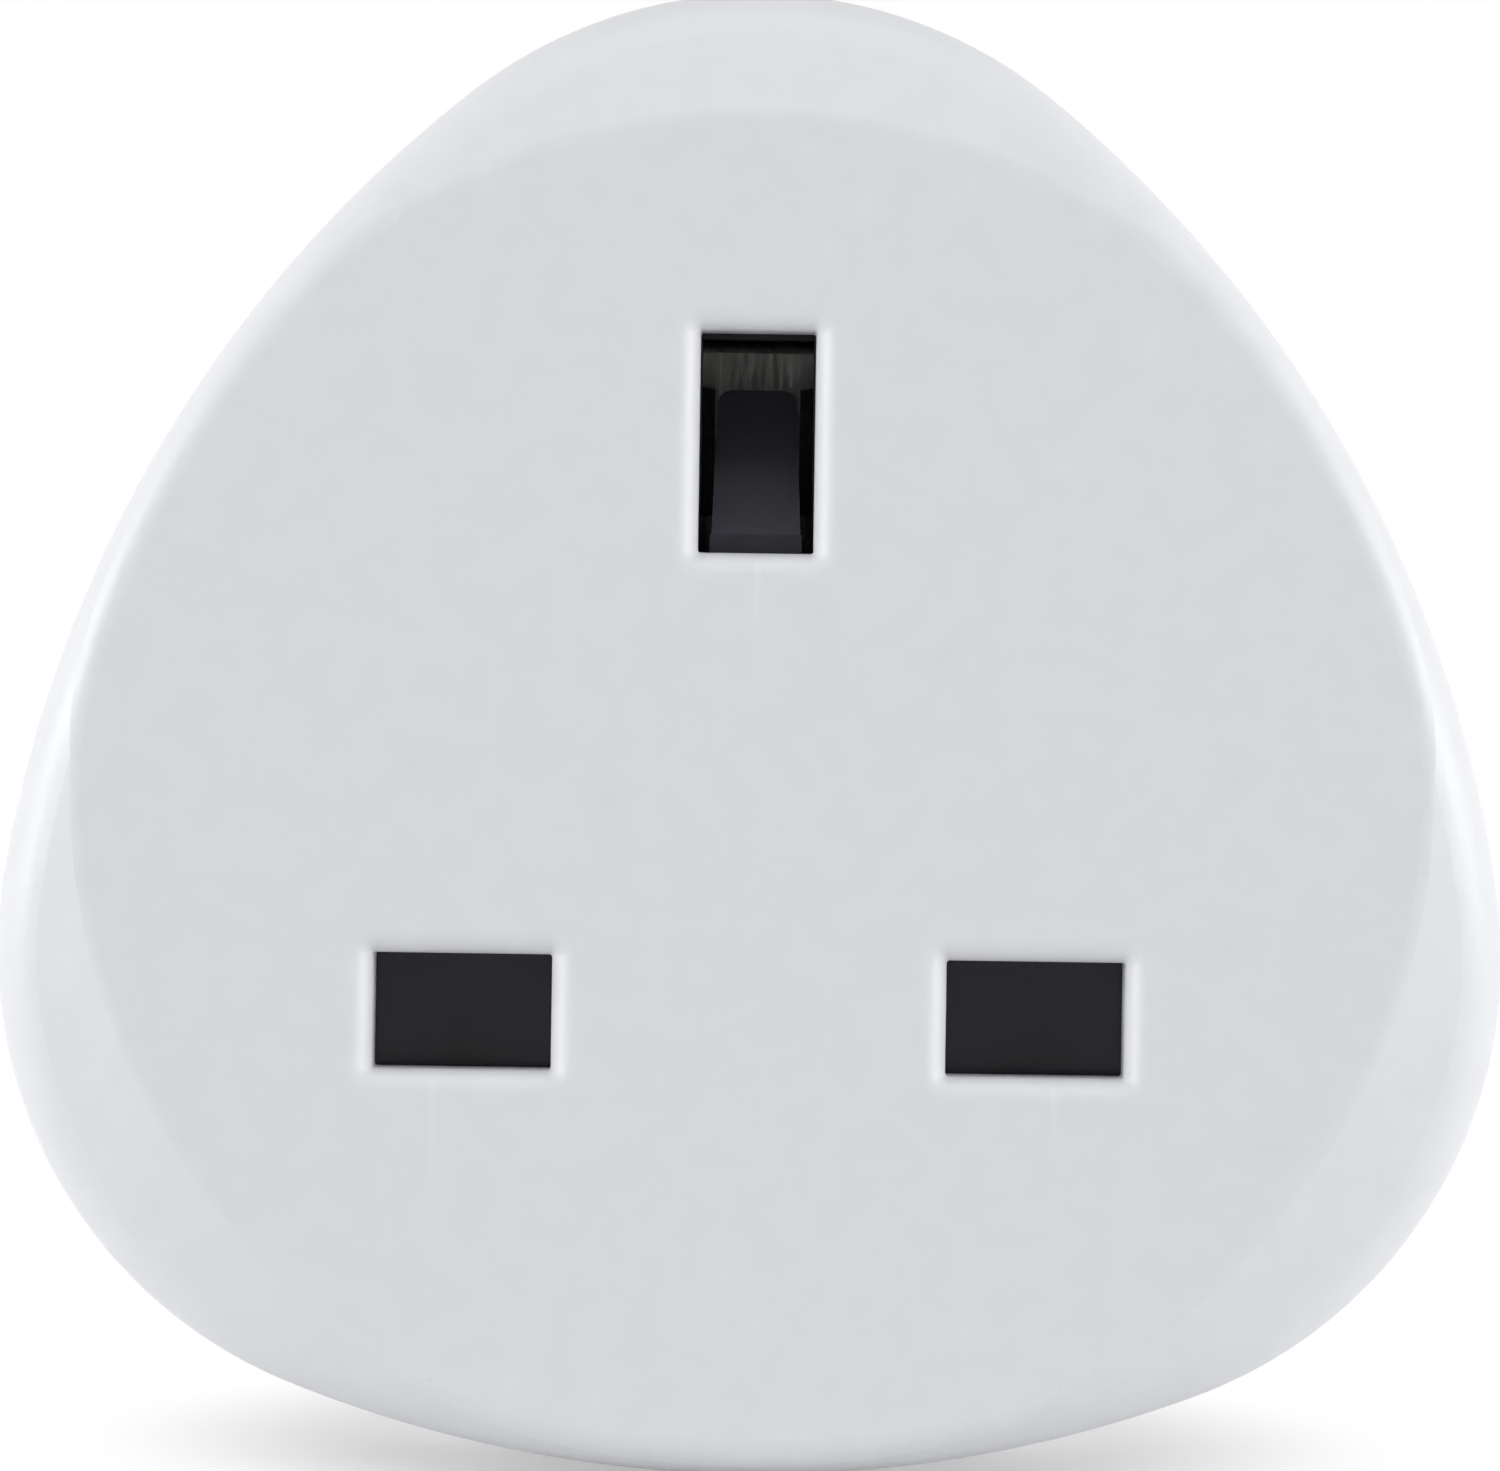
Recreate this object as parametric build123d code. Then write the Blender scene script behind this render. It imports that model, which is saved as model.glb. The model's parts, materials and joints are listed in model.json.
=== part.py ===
from build123d import *
import math
import os

# Travel adapter: a shuttered three-pin socket face on an earthed round-pin plug.
# Millimetres. X is to the right as the socket face is seen, Y runs from the face
# to the tips of the plug pins, and Z is up. The origin is the middle of the plug
# face, between the two round pins.

# Outside of the body
side_reach = 26.6           # axis to the middle of each shallow side
side_radius = 49.8          # arc of the three shallow sides
corner_radius = 18.0        # arc of the three lobes
disc_radius = 26.2          # flat round middle of the socket face
lobe_slope = 22.0           # degrees by which the lobes fall away from the disc
rim_round = 2.6             # rounding of the front rim
crease_round = 1.2          # softening where the disc meets the lobes
back_round = 2.5            # rounding of the rear rim
body_depth = 26.0           # socket face to the flange behind it
rear_depth = 9.0            # share of that depth that the rear housing takes
wall = 2.2                  # side and rear walls
face_wall = 2.5             # wall of the socket face
seam_chamfer = 0.25         # shadow line round the parting seam
lip_height = 1.6            # tongue of the rear housing inside the front cover
fit_gap = 0.1               # between moulded parts that locate each other
pilot_gap = 0.05            # between a screw's shank and its pilot hole
metal_gap = 0.05            # round a pin, a tail or a rivet in its hole

# Socket side
pin_pitch = 22.23           # between the line slots, and up to the earth slot
row_z = -8.74               # height of the row of line slots
line_slot_width = 6.93
line_slot_height = 4.49
earth_slot_width = 4.49
earth_slot_height = 8.63
slot_round = 1.0            # rounding of the slot mouths
slot_corner = 0.12          # rounding of the slots' upright corners
tunnel_depth = 4.6          # from the face to the shutter's sliding plane
collar_wall = 1.0           # wall of the tunnels behind the slots
line_pin_width = 6.35       # pins of the plug that goes in
line_pin_height = 3.97
earth_pin_height = 7.95

# Shutter
shutter_travel = 6.4
shutter_thickness = 1.8
slide_gap = 0.25            # between the shutter and what it slides along
shutter_lap = 0.6           # by which the plates overlap the slots
pin_spare = 0.2             # between the tongue, pushed down, and the earth pin
tongue_top_width = 3.1
tongue_foot_width = 3.6
tongue_round = 0.55
ramp_foot = 3.5             # foot of the ramp, below the earth slot's middle
ramp_reach = 3.8            # depth of the ramp from foot to top
ramp_thickness = 1.0
stem_width = 5.4
stop_height = 1.4
stop_gap = 0.05             # between the shutter at rest and its upper stops
rail_wall = 1.2

# Shutter spring
spring_radius = 1.5         # middle of the wire
spring_wire = 0.4
spring_turns = 6
spring_gap = 0.05           # between the spring's ends and what they press on
wire_sides = 6              # flats that stand for the round of the thin wire
peg_radius = 0.85
peg_height = 1.3
seat_height = 1.8           # spring seat above the inside of the bottom wall

# Contacts
metal = 0.7                 # brass strip
line_jaw_width = 5.8
line_jaw_start = 10.4       # socket face to the mouth of the line contacts
earth_jaw_width = 5.0
earth_jaw_start = 12.9      # socket face to the mouth of the earth contact
jaw_pinch = 1.7             # half the gap at the narrowest place
jaw_root = 2.8              # centre line of a leaf at its base, from the middle
jaw_lip = 2.7               # centre line of a leaf at its mouth, from the middle
jaw_waist = 0.6             # share of a leaf's length from its base to the pinch
bend_radius = 0.8
clip_metal = 0.4            # steel clip round the leaves
clip_length = 2.0
clip_spare = 0.3            # between the clip and the sides of the pin
earth_tab_width = 4.4

# Contact carrier
carrier_plate = 1.6
carrier_wall = 1.2
pocket_gap = 0.35
window_gap = 0.2            # round the pins in the carrier's plate
ear_x = 12.6
ear_z = 4.6
ear_radius = 3.0
carrier_screw_radius = 1.1
carrier_screw_length = 5.4
carrier_head_radius = 2.0
carrier_head_height = 1.3
rest_gap = 0.3              # between the carrier and the strips behind it

# Plug side
boss_radius = 18.7
boss_length = 17.0
boss_round = 1.0
end_wall = 2.4
plug_pin_x = 9.5
plug_pin_radius = 2.4
shank_radius = 2.6          # plug pins inside the boss
plug_pin_length = 19.0
plug_pin_tip = 1.7          # rounding of the pin tips
collar_radius = 3.4
collar_height = 1.5
tail_radius = 1.5
tail_head_radius = 2.2
tail_head_height = 0.6
post_wall = 1.5
plate_thickness = 1.7       # pin plate
ledge = 0.8                 # step that the pin plate rests on
groove_width = 5.4          # grooves for the guide ribs of a recessed socket
groove_depth = 2.3
earth_hole_z = 10.0
earth_bore_radius = 2.5
earth_mouth_radius = 2.7
sleeve_wall = 0.6
sleeve_length = 11.4
sleeve_tab_width = 3.2
foot_width = 4.4
strip_width = 6.5           # side contacts
strip_end = 3.0             # from the plug face to the end of a side contact
strip_hook = 1.5
rivet_radius = 0.9
rivet_head_radius = 1.6
rivet_head_height = 0.5

# Housing screws
screw_ring = 24.3           # distance from the axis, one screw in each lobe
screw_radius = 1.45
screw_length = 14.0
screw_head_radius = 2.8
screw_head_height = 2.1
screw_sink = 3.0            # flange to the seat of the screw head
sink_gap = 0.4
post_radius = 3.2
pillar_wall = 1.1
recess_width = 0.8          # arms of the cross in a screw head
recess_span = 3.2
recess_depth = 1.1
rib = 1.2
rib_height = 3.0

# Places along Y
flange_y = -boss_length
face_y = flange_y - body_depth
seam_y = flange_y - rear_depth
inner_face_y = face_y + face_wall
root_y = inner_face_y - face_wall / 3
inner_back_y = flange_y - wall
ledge_y = inner_back_y + plate_thickness
tunnel_y = face_y + tunnel_depth
shutter_front = tunnel_y + slide_gap
shutter_back = shutter_front + shutter_thickness
carrier_front = shutter_back + slide_gap
strip_y = inner_back_y - metal
carrier_back = strip_y - rest_gap
line_jaw_length = inner_back_y - face_y - line_jaw_start
earth_jaw_length = strip_y - face_y - earth_jaw_start
screw_seat_y = flange_y - screw_sink
sleeve_back = -end_wall - sleeve_length
ramp_y = shutter_front + ramp_reach

# Places across the face
line_x = pin_pitch / 2
earth_z = row_z + pin_pitch
tongue_top = earth_z - earth_pin_height / 2 + shutter_travel - pin_spare
ramp_foot_z = earth_z - ramp_foot
ramp_back_z = ramp_foot_z - shutter_thickness
plate_bottom = row_z - line_slot_height / 2 - shutter_lap
plate_top = row_z + line_slot_height / 2 + shutter_lap
shutter_half = line_x + line_slot_width / 2 + shutter_lap
spring_base = -side_reach + wall + seat_height
spring_y = (shutter_front + shutter_back) / 2
strip_z = boss_radius - metal
rivet_z = earth_hole_z - earth_bore_radius - sleeve_wall - rivet_head_radius - fit_gap
foot_low = rivet_z - rivet_head_radius - fit_gap
half_turn = 60              # degrees from the middle of a side to the next lobe
sides = [30, 150, 270]
lobes = [side + half_turn for side in sides]


def polar(radius, degrees):
    angle = math.radians(degrees)
    return (radius * math.cos(angle), radius * math.sin(angle))


# The lobe arcs sit where they run smoothly into the side arcs
side_offset = side_radius - side_reach
arc_gap = side_radius - corner_radius
lobe_offset = (math.sqrt(4 * arc_gap ** 2 - 3 * side_offset ** 2) - side_offset) / 2
side_centre = polar(side_offset, 210)
lobe_half = 90 - math.degrees(math.atan2(lobe_offset - side_centre[1], -side_centre[0]))


# Shapes drawn in X and Z, or in Y and Z, and extruded between two places
def slab(sketch, front, back):
    plane = Plane(origin=(0, back, 0), x_dir=(1, 0, 0), z_dir=(0, -1, 0))
    return extrude(plane * sketch, amount=back - front)


def bar(sketch, width):
    return extrude(Plane.YZ * sketch, amount=width / 2, both=True)


def rod(x, z, radius, front, back):
    return slab(Pos(x, z) * Circle(radius), front, back)


def block(x, z, width, height, front, back):
    return slab(Pos(x, z) * Rectangle(width, height), front, back)


def upright(left, right, low, high, front, back):
    return block((left + right) / 2, (low + high) / 2, right - left, high - low, front, back)


def outline(inset=0.0):
    def lobe_point(lobe, turn):
        centre = polar(lobe_offset, lobe)
        point = polar(corner_radius - inset, lobe + turn)
        return (centre[0] + point[0], centre[1] + point[1])

    edges = []
    for side, lobe in zip(sides, lobes):
        start = lobe_point(side - half_turn, lobe_half)
        end = lobe_point(lobe, -lobe_half)
        edges.append(ThreePointArc(start, polar(side_reach - inset, side), end))
        edges.append(ThreePointArc(end, lobe_point(lobe, 0), lobe_point(lobe, lobe_half)))
    return make_face(edges)


def mouth(x, z, width, height, front, back):
    return slab(Pos(x, z) * RectangleRounded(width, height, slot_corner), front, back)


def slots():
    width, height = line_slot_width, line_slot_height
    openings = [(x, row_z, width, height) for x in (-line_x, line_x)]
    openings.append((0, earth_z, earth_slot_width, earth_slot_height))
    return openings


# Front cover
def dome(sink):
    slope = math.tan(math.radians(lobe_slope))
    reach = lobe_offset + corner_radius + rim_round
    edge_y = (reach - disc_radius) * slope
    points = [(0, -disc_radius * slope), (reach, edge_y), (reach, body_depth), (0, body_depth)]
    cone = revolve(make_face(Polyline(*points, close=True)), Axis.Y)
    return Pos(0, face_y + sink, 0) * cone


def cover_form():
    tip_y = face_y - disc_radius * math.tan(math.radians(lobe_slope))
    form = slab(outline(), tip_y, seam_y) & dome(0)
    rim = form.faces().filter_by(GeomType.CONE).edges().filter_by(GeomType.LINE, reverse=True)
    form = fillet(rim, rim_round)
    form = form & slab(outline(-rim_round), face_y, seam_y)
    form = fillet(form.faces().sort_by(Axis.Y)[0].edges(), crease_round)
    for x, z, width, height in slots():
        form -= mouth(x, z, width, height, face_y, seam_y)
    mouths = form.faces().sort_by(Axis.Y)[0].inner_wires().edges()
    form = fillet(mouths, slot_round)
    seam = form.faces().sort_by(Axis.Y)[-1].outer_wire().edges()
    return chamfer(seam, seam_chamfer)


def shutter_guide():
    left = shutter_half + slide_gap
    low = plate_bottom - shutter_travel - slide_gap - stop_height
    high = plate_top + stop_gap + stop_height
    rail = upright(left, left + rail_wall, low, high, root_y, shutter_back)
    for bottom in (low, high - stop_height):
        inner = shutter_half - stop_height
        rail += upright(inner, left, bottom, bottom + stop_height, root_y, shutter_back)
    return rail


def spring_seat():
    bottom = -side_reach + wall / 2
    half = spring_radius + spring_wire + slide_gap
    seat = upright(-half, half, bottom, spring_base, root_y, spring_y + half)
    peg = Cylinder(peg_radius, peg_height, align=(Align.CENTER, Align.CENTER, Align.MIN))
    return seat + Pos(0, spring_y, spring_base) * peg


def front_cover():
    cover = cover_form()
    room = slab(outline(wall), inner_face_y, seam_y) & dome(face_wall)
    cover -= room
    cover -= slab(outline(wall / 2), seam_y - lip_height, seam_y)
    for x, z, width, height in slots():
        lap = 2 * collar_wall
        cover += block(x, z, width + lap, height + lap, root_y, tunnel_y)
    for lobe in lobes:
        x, z = polar(screw_ring, lobe)
        cover += rod(x, z, post_radius, root_y, seam_y)
        reach = lobe_offset + corner_radius - wall / 2
        web = upright(screw_ring, reach, -rib / 2, rib / 2, root_y, seam_y - lip_height)
        cover += Rot(0, -lobe, 0) * web
    for side in (-1, 1):
        cover += rod(side * ear_x, ear_z, ear_radius, root_y, carrier_front)
    guide = shutter_guide()
    cover += guide
    cover += mirror(guide, Plane.YZ)
    cover += spring_seat()
    for x, z, width, height in slots():
        cover -= mouth(x, z, width, height, inner_face_y - face_wall / 2, tunnel_y)
    for lobe in lobes:
        x, z = polar(screw_ring, lobe)
        cover -= rod(x, z, screw_radius + pilot_gap, screw_seat_y - screw_length - rib, seam_y)
    pilot = carrier_screw_radius + pilot_gap
    pilot_end = carrier_front + carrier_plate - carrier_screw_length - pilot_gap
    for side in (-1, 1):
        cover -= rod(side * ear_x, ear_z, pilot, pilot_end, carrier_front)
    return cover


# Rear housing
def boss_room(margin):
    half_x = boss_radius - groove_depth - wall + margin
    half_z = strip_z - fit_gap - wall + margin
    return Circle(boss_radius - wall + margin) & Rectangle(2 * half_x, 2 * half_z)


def plug_boss():
    boss = rod(0, 0, boss_radius, inner_back_y, 0)
    boss = fillet(boss.edges().filter_by(GeomType.CIRCLE).sort_by(Axis.Y)[-1], boss_round)
    for side in (-1, 1):
        boss -= block(side * boss_radius, 0, 2 * groove_depth, groove_width, flange_y, 0)
    return boss


def strip_slots():
    half = strip_width / 2 + fit_gap
    inner = strip_z - fit_gap
    outer = boss_radius + fit_gap
    cut = upright(-half, half, inner, outer, inner_back_y, fit_gap - strip_end)
    cut += upright(-half, half, inner - metal / 2, inner, inner_back_y, inner_back_y + metal / 2)
    hook_front = -strip_end - metal - fit_gap
    cut += upright(-half, half, strip_z - strip_hook, outer, hook_front, fit_gap - strip_end)
    return [cut, mirror(cut, Plane.XY)]


def rear_housing():
    shell = slab(outline(), seam_y, flange_y)
    shell = fillet(shell.faces().sort_by(Axis.Y)[-1].edges(), back_round)
    shell = chamfer(shell.faces().sort_by(Axis.Y)[0].edges(), seam_chamfer)
    shell += plug_boss()
    lip = slab(outline(wall / 2 + fit_gap), seam_y - lip_height + fit_gap, seam_y + wall)
    shell += lip
    shell -= slab(outline(wall), seam_y - lip_height, inner_back_y)
    shell -= slab(boss_room(ledge), inner_back_y, ledge_y)
    shell -= slab(boss_room(0), ledge_y, -end_wall)
    pillar = screw_head_radius + sink_gap + pillar_wall
    for lobe in lobes:
        x, z = polar(screw_ring, lobe)
        shell += rod(x, z, pillar, seam_y + fit_gap, inner_back_y)
    for side in sides:
        reach = side_reach - wall / 2
        web = upright(boss_radius, reach, -rib / 2, rib / 2, inner_back_y - rib_height, inner_back_y)
        shell += Rot(0, -side, 0) * web
    post = shank_radius + post_wall
    post_y = ledge_y + collar_height
    for side in (-1, 1):
        shell += rod(side * plug_pin_x, 0, post, post_y, -end_wall)
    sleeve = earth_bore_radius + sleeve_wall
    shell += rod(0, earth_hole_z, sleeve + rib, sleeve_back + rib, -end_wall)
    shell -= rod(0, earth_hole_z, sleeve + fit_gap, sleeve_back, -end_wall)
    shell -= rod(0, earth_hole_z, earth_mouth_radius, -end_wall, 0)
    for side in (-1, 1):
        shell -= rod(side * plug_pin_x, 0, shank_radius + metal_gap, post_y, 0)
    for cut in strip_slots():
        shell -= cut
    for lobe in lobes:
        x, z = polar(screw_ring, lobe)
        shell -= rod(x, z, screw_head_radius + sink_gap, screw_seat_y, flange_y)
        shell -= rod(x, z, screw_radius + fit_gap, seam_y, screw_seat_y)
    return shell


# Shutter: one moulding with a ramp behind the earth slot and a plate behind each line slot
def shutter():
    body = upright(-shutter_half, shutter_half, plate_bottom, plate_top, shutter_front, shutter_back)
    stem_low = plate_top - stem_width / 2
    half_foot = tongue_foot_width / 2
    body += upright(-half_foot, half_foot, stem_low, ramp_foot_z, shutter_front, shutter_back)
    shoulder = [(-stem_width / 2, plate_top), (stem_width / 2, plate_top)]
    shoulder += [(half_foot, plate_top + stem_width), (-half_foot, plate_top + stem_width)]
    body += slab(make_face(Polyline(*shoulder, close=True)), shutter_front, shutter_back)
    wedge = [(shutter_front, ramp_foot_z), (ramp_y, tongue_top), (ramp_y + ramp_thickness, tongue_top)]
    wedge += [(ramp_y + ramp_thickness, tongue_top - ramp_thickness), (shutter_back, ramp_back_z)]
    wedge += [(shutter_front, ramp_back_z)]
    ramp = bar(make_face(Polyline(*wedge, close=True)), 2 * tongue_foot_width)
    half_top = tongue_top_width / 2
    front = [(-half_foot, ramp_back_z), (half_foot, ramp_back_z)]
    front += [(half_top, tongue_top), (-half_top, tongue_top)]
    shape = make_face(Polyline(*front, close=True))
    shape = fillet(shape.vertices().sort_by(Axis.Y)[-2:], tongue_round)
    body += ramp & slab(shape, shutter_front, ramp_y + ramp_thickness)
    peg = Cylinder(peg_radius, peg_height, align=(Align.CENTER, Align.CENTER, Align.MAX))
    return body + Pos(0, spring_y, plate_bottom) * peg


def shutter_spring():
    height = plate_bottom - spring_base - spring_wire - 2 * spring_gap
    start = spring_base + spring_wire / 2 + spring_gap
    coil = Helix(height / spring_turns, height, spring_radius, center=(0, spring_y, start))
    section = Plane(coil @ 0, z_dir=coil % 0) * RegularPolygon(spring_wire / 2, wire_sides)
    return sweep(section, path=coil, is_frenet=True)


# Contacts: folded strips with two sprung leaves, base at y = 0 and mouth towards -Y
def jaw(width, length):
    pinch = jaw_pinch + metal / 2
    pinch_y = -jaw_waist * length
    base_y = -metal / 2
    upper = [(-length, jaw_lip), (pinch_y, pinch), (base_y, jaw_root)]
    lower = [(y, -z) for y, z in reversed(upper)]
    line = FilletPolyline(*upper, *lower, radius=bend_radius)
    return bar(trace(line, metal), width)


def clip(pin_width, length):
    slope = (jaw_lip - jaw_pinch - metal / 2) / (length - jaw_waist * length)
    high = jaw_pinch + metal + clip_metal / 2 + slope * clip_length / 2
    side = pin_width / 2 + clip_spare
    line = FilletPolyline((-side, high), (side, high), (side, -high), (-side, -high), radius=bend_radius)
    middle = -jaw_waist * length
    return slab(trace(line, clip_metal), middle - clip_length / 2, middle + clip_length / 2)


def line_contact(side):
    contact = Pos(side * line_x, inner_back_y, row_z) * jaw(line_jaw_width, line_jaw_length)
    eye = Pos(side * plug_pin_x, 0) * Circle(tail_head_radius + metal)
    root = Pos(side * line_x, row_z) * Rectangle(line_jaw_width, 2 * jaw_root - 2 * bend_radius)
    tail = make_hull(eye.edges() + root.edges())
    contact += slab(tail, strip_y, inner_back_y)
    return contact - rod(side * plug_pin_x, 0, tail_radius + metal_gap, strip_y, inner_back_y)


def line_clip(side):
    turned = clip(line_pin_width, line_jaw_length)
    if side < 0:
        turned = mirror(turned, Plane.YZ)
    return Pos(side * line_x, inner_back_y, row_z) * turned


def earth_contact():
    contact = Pos(0, strip_y, earth_z) * Rot(0, 90, 0) * jaw(earth_jaw_width, earth_jaw_length)
    low = rivet_z - earth_tab_width / 2
    half = earth_tab_width / 2
    contact += upright(-half, half, low, earth_z, strip_y - metal, strip_y)
    spare = earth_pin_height / 2 + window_gap
    pin_half = line_pin_height / 2
    window = upright(-pin_half, pin_half, earth_z - spare, earth_z + spare, strip_y - metal, strip_y)
    contact -= window
    return contact - rod(0, rivet_z, rivet_radius + metal_gap, strip_y - metal, strip_y)


def earth_clip():
    return Pos(0, strip_y, earth_z) * Rot(0, 90, 0) * clip(earth_pin_height, earth_jaw_length)


def plug_pin(side):
    pin = rod(0, 0, plug_pin_radius, 0, plug_pin_length)
    pin = fillet(pin.edges().filter_by(GeomType.CIRCLE).sort_by(Axis.Y)[-1], plug_pin_tip)
    pin += rod(0, 0, shank_radius, ledge_y, 0)
    pin += rod(0, 0, collar_radius, ledge_y, ledge_y + collar_height)
    pin += rod(0, 0, tail_radius, strip_y - tail_head_height, ledge_y)
    pin += rod(0, 0, tail_head_radius, strip_y - tail_head_height, strip_y)
    return Pos(side * plug_pin_x, 0, 0) * pin


def pin_plate():
    plate = slab(boss_room(ledge - fit_gap), inner_back_y, ledge_y)
    for side in (-1, 1):
        plate -= rod(side * plug_pin_x, 0, tail_radius + metal_gap, inner_back_y, ledge_y)
    half = foot_width / 2 + rest_gap
    low = foot_low - rest_gap
    high = earth_hole_z - earth_bore_radius + rest_gap
    plate -= upright(-half, half, low, high, inner_back_y, ledge_y)
    return plate


# Earth path: side contacts, sleeve for a socket's own earth pin, and the rivet
def earth_bridge():
    mid_y = inner_back_y - metal / 2
    mid_z = strip_z + metal / 2
    end_y = -strip_end - metal / 2
    upper = [(end_y, strip_z - strip_hook + fit_gap), (end_y, mid_z), (mid_y, mid_z)]
    lower = [(y, -z) for y, z in reversed(upper)]
    line = FilletPolyline(*upper, *lower, radius=metal)
    bridge = bar(trace(line, metal), strip_width)
    return bridge - rod(0, rivet_z, rivet_radius + metal_gap, strip_y, inner_back_y)


def earth_sleeve():
    outer = earth_bore_radius + sleeve_wall
    sleeve = rod(0, earth_hole_z, outer, sleeve_back, -end_wall)
    low = earth_hole_z - outer
    half = sleeve_tab_width / 2
    tab_front = inner_back_y
    sleeve += upright(-half, half, low, low + sleeve_wall, tab_front, sleeve_back + rib - fit_gap)
    half_foot = foot_width / 2
    foot_back = tab_front + sleeve_wall
    sleeve += upright(-half_foot, half_foot, foot_low, low + sleeve_wall, tab_front, foot_back)
    sleeve -= rod(0, earth_hole_z, earth_bore_radius, sleeve_back, -end_wall)
    return sleeve - rod(0, rivet_z, rivet_radius + metal_gap, tab_front, foot_back)


def earth_rivet():
    front = strip_y - metal
    back = inner_back_y + sleeve_wall
    rivet = rod(0, rivet_z, rivet_radius, front, back)
    rivet += rod(0, rivet_z, rivet_head_radius, front - rivet_head_height, front)
    return rivet + rod(0, rivet_z, rivet_head_radius, back, back + rivet_head_height)


# Contact carrier
def carrier_pockets():
    leaf = jaw_lip + metal / 2 + pocket_gap
    line_half = line_pin_width / 2 + clip_spare + clip_metal / 2 + pocket_gap
    earth_half = earth_pin_height / 2 + clip_spare + clip_metal / 2 + pocket_gap
    channel_low = ramp_back_z - shutter_travel - rest_gap
    pockets = [(x - line_half, x + line_half, row_z - leaf, row_z + leaf) for x in (-line_x, line_x)]
    pockets.append((-leaf, leaf, channel_low, earth_z + earth_half))
    return pockets


def contact_carrier():
    plate_back = carrier_front + carrier_plate
    grow = carrier_wall
    carrier = block(0, row_z, 2 * line_x, 2 * jaw_lip, carrier_front, plate_back)
    carrier += upright(-stem_width / 2, stem_width / 2, row_z, earth_z, carrier_front, plate_back)
    for side in (-1, 1):
        eye = Pos(side * ear_x, ear_z) * Circle(ear_radius)
        root = Pos(0, ear_z) * Rectangle(2 * jaw_lip, 2 * ear_radius)
        carrier += slab(make_hull(eye.edges() + root.edges()), carrier_front, plate_back)
    for left, right, low, high in carrier_pockets():
        carrier += upright(left - grow, right + grow, low - grow, high + grow, carrier_front, carrier_back)
    for left, right, low, high in carrier_pockets():
        carrier -= upright(left, right, low, high, plate_back, carrier_back)
    for x in (-line_x, line_x):
        width = line_pin_width + 2 * window_gap
        carrier -= block(x, row_z, width, line_pin_height + 2 * window_gap, carrier_front, plate_back)
    left, right, low, high = carrier_pockets()[-1]
    half = line_pin_height / 2 + window_gap
    top = earth_z + earth_pin_height / 2 + window_gap
    carrier -= upright(-half, half, low, top, carrier_front, plate_back)
    notch = spring_radius + spring_wire + slide_gap
    lowest = row_z - jaw_lip
    carrier -= upright(-notch, notch, lowest, plate_bottom + rib, carrier_front, plate_back)
    for side in (-1, 1):
        hole = carrier_screw_radius + fit_gap
        carrier -= rod(side * ear_x, ear_z, hole, carrier_front, plate_back)
    return carrier


# Screws: pan heads towards the plug side, with a cross recess
def screw(radius, length, head_radius, head_height):
    body = rod(0, 0, radius, -length, 0) + rod(0, 0, head_radius, 0, head_height)
    top = body.edges().filter_by(GeomType.CIRCLE).sort_by(Axis.Y)[-1]
    body = chamfer(top, head_height / 2)
    tip = body.edges().filter_by(GeomType.CIRCLE).sort_by(Axis.Y)[0]
    body = chamfer(tip, radius / 2)
    scale = head_radius / screw_head_radius
    for width, height in ((recess_width, recess_span), (recess_span, recess_width)):
        low = head_height - recess_depth * scale
        body -= block(0, 0, width * scale, height * scale, low, head_height)
    return body


def housing_screws():
    one = screw(screw_radius, screw_length, screw_head_radius, screw_head_height)
    places = [polar(screw_ring, lobe) for lobe in lobes]
    return Compound(children=[Pos(x, screw_seat_y, z) * one for x, z in places])


def carrier_screws():
    one = screw(carrier_screw_radius, carrier_screw_length, carrier_head_radius, carrier_head_height)
    seat = carrier_front + carrier_plate
    return Compound(children=[Pos(side * ear_x, seat, ear_z) * one for side in (-1, 1)])


nodes = {
    "front_cover": front_cover(),
    "rear_housing": rear_housing(),
    "shutter": shutter(),
    "shutter_spring": shutter_spring(),
    "contact_carrier": contact_carrier(),
    "live_contact": line_contact(1),
    "neutral_contact": line_contact(-1),
    "earth_contact": earth_contact(),
    "live_clip": line_clip(1),
    "neutral_clip": line_clip(-1),
    "earth_clip": earth_clip(),
    "live_pin": plug_pin(1),
    "neutral_pin": plug_pin(-1),
    "pin_plate": pin_plate(),
    "earth_bridge": earth_bridge(),
    "earth_sleeve": earth_sleeve(),
    "earth_rivet": earth_rivet(),
    "housing_screws": housing_screws(),
    "carrier_screws": carrier_screws(),
}

os.makedirs("parts", exist_ok=True)
for name, solid in nodes.items():
    export_step(solid, "parts/" + name + ".step")
    print(name, round(solid.volume, 1))
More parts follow.
